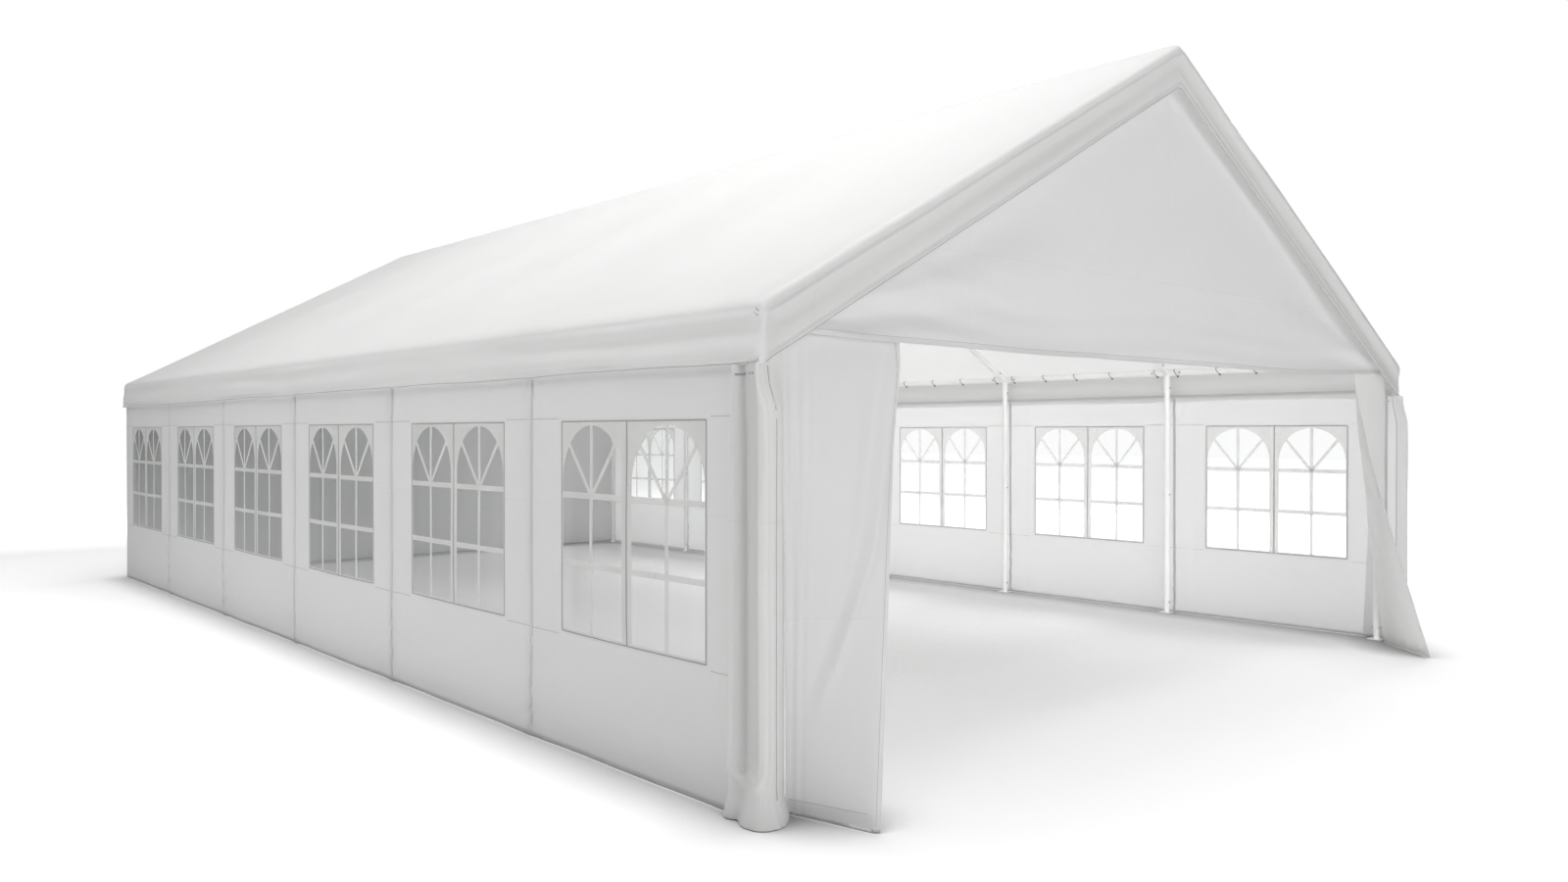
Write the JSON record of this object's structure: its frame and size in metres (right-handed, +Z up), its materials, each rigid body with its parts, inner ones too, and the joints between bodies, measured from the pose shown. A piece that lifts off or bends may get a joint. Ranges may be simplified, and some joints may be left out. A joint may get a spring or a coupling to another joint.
{
  "type": "marquee tent",
  "caption": "Long gable-roofed party tent with a white steel tube frame, a one-piece roof tarpaulin, window side walls and an open front with door flaps.",
  "frame": {"origin": "on the ground, under the middle of the whole outline, swung door flaps included", "axes": "+Z up, +Y along the tent from the open front to the closed back, +X across the tent to the right seen from the front"},
  "size_m": [6.1, 10.7656, 3.64],
  "materials": {
    "white_steel": "white powder-coated steel tube, semi-gloss",
    "roof_tarpaulin": "white woven and coated polyethylene tarpaulin, soft satin",
    "wall_tarpaulin": "white woven and coated polyethylene tarpaulin, soft satin",
    "clear_film": "clear flexible window film",
    "printed_bars": "opaque white window bars on the film",
    "elastic_cord": "dark elastic cord",
    "zinc_bolt": "zinc-plated bolts"
  },
  "bodies": {
    "root": {"leg_left_1": "white_steel", "leg_left_2": "white_steel", "leg_left_3": "white_steel", "leg_left_4": "white_steel", "leg_left_5": "white_steel", "leg_left_6": "white_steel", "leg_left_7": "white_steel", "leg_right_1": "white_steel", "leg_right_2": "white_steel", "leg_right_3": "white_steel", "leg_right_4": "white_steel", "leg_right_5": "white_steel", "leg_right_6": "white_steel", "leg_right_7": "white_steel", "rafter_left_1": "white_steel", "rafter_left_2": "white_steel", "rafter_left_3": "white_steel", "rafter_left_4": "white_steel", "rafter_left_5": "white_steel", "rafter_left_6": "white_steel", "rafter_left_7": "white_steel", "rafter_right_1": "white_steel", "rafter_right_2": "white_steel", "rafter_right_3": "white_steel", "rafter_right_4": "white_steel", "rafter_right_5": "white_steel", "rafter_right_6": "white_steel", "rafter_right_7": "white_steel", "ridge_tube": "white_steel", "eave_tube_left": "white_steel", "eave_tube_right": "white_steel", "roof_cover": "roof_tarpaulin", "gable_front": "wall_tarpaulin", "gable_back": "wall_tarpaulin", "back_wall": "wall_tarpaulin", "left_wall_front": "wall_tarpaulin", "left_wall_rear": "wall_tarpaulin", "right_wall_front": "wall_tarpaulin", "right_wall_rear": "wall_tarpaulin", "left_window_film": "clear_film", "right_window_film": "clear_film", "front_flap_left": "wall_tarpaulin", "front_flap_right": "wall_tarpaulin", "corner_wrap_left": "wall_tarpaulin", "corner_wrap_right": "wall_tarpaulin"}
  },
  "joints": []
}
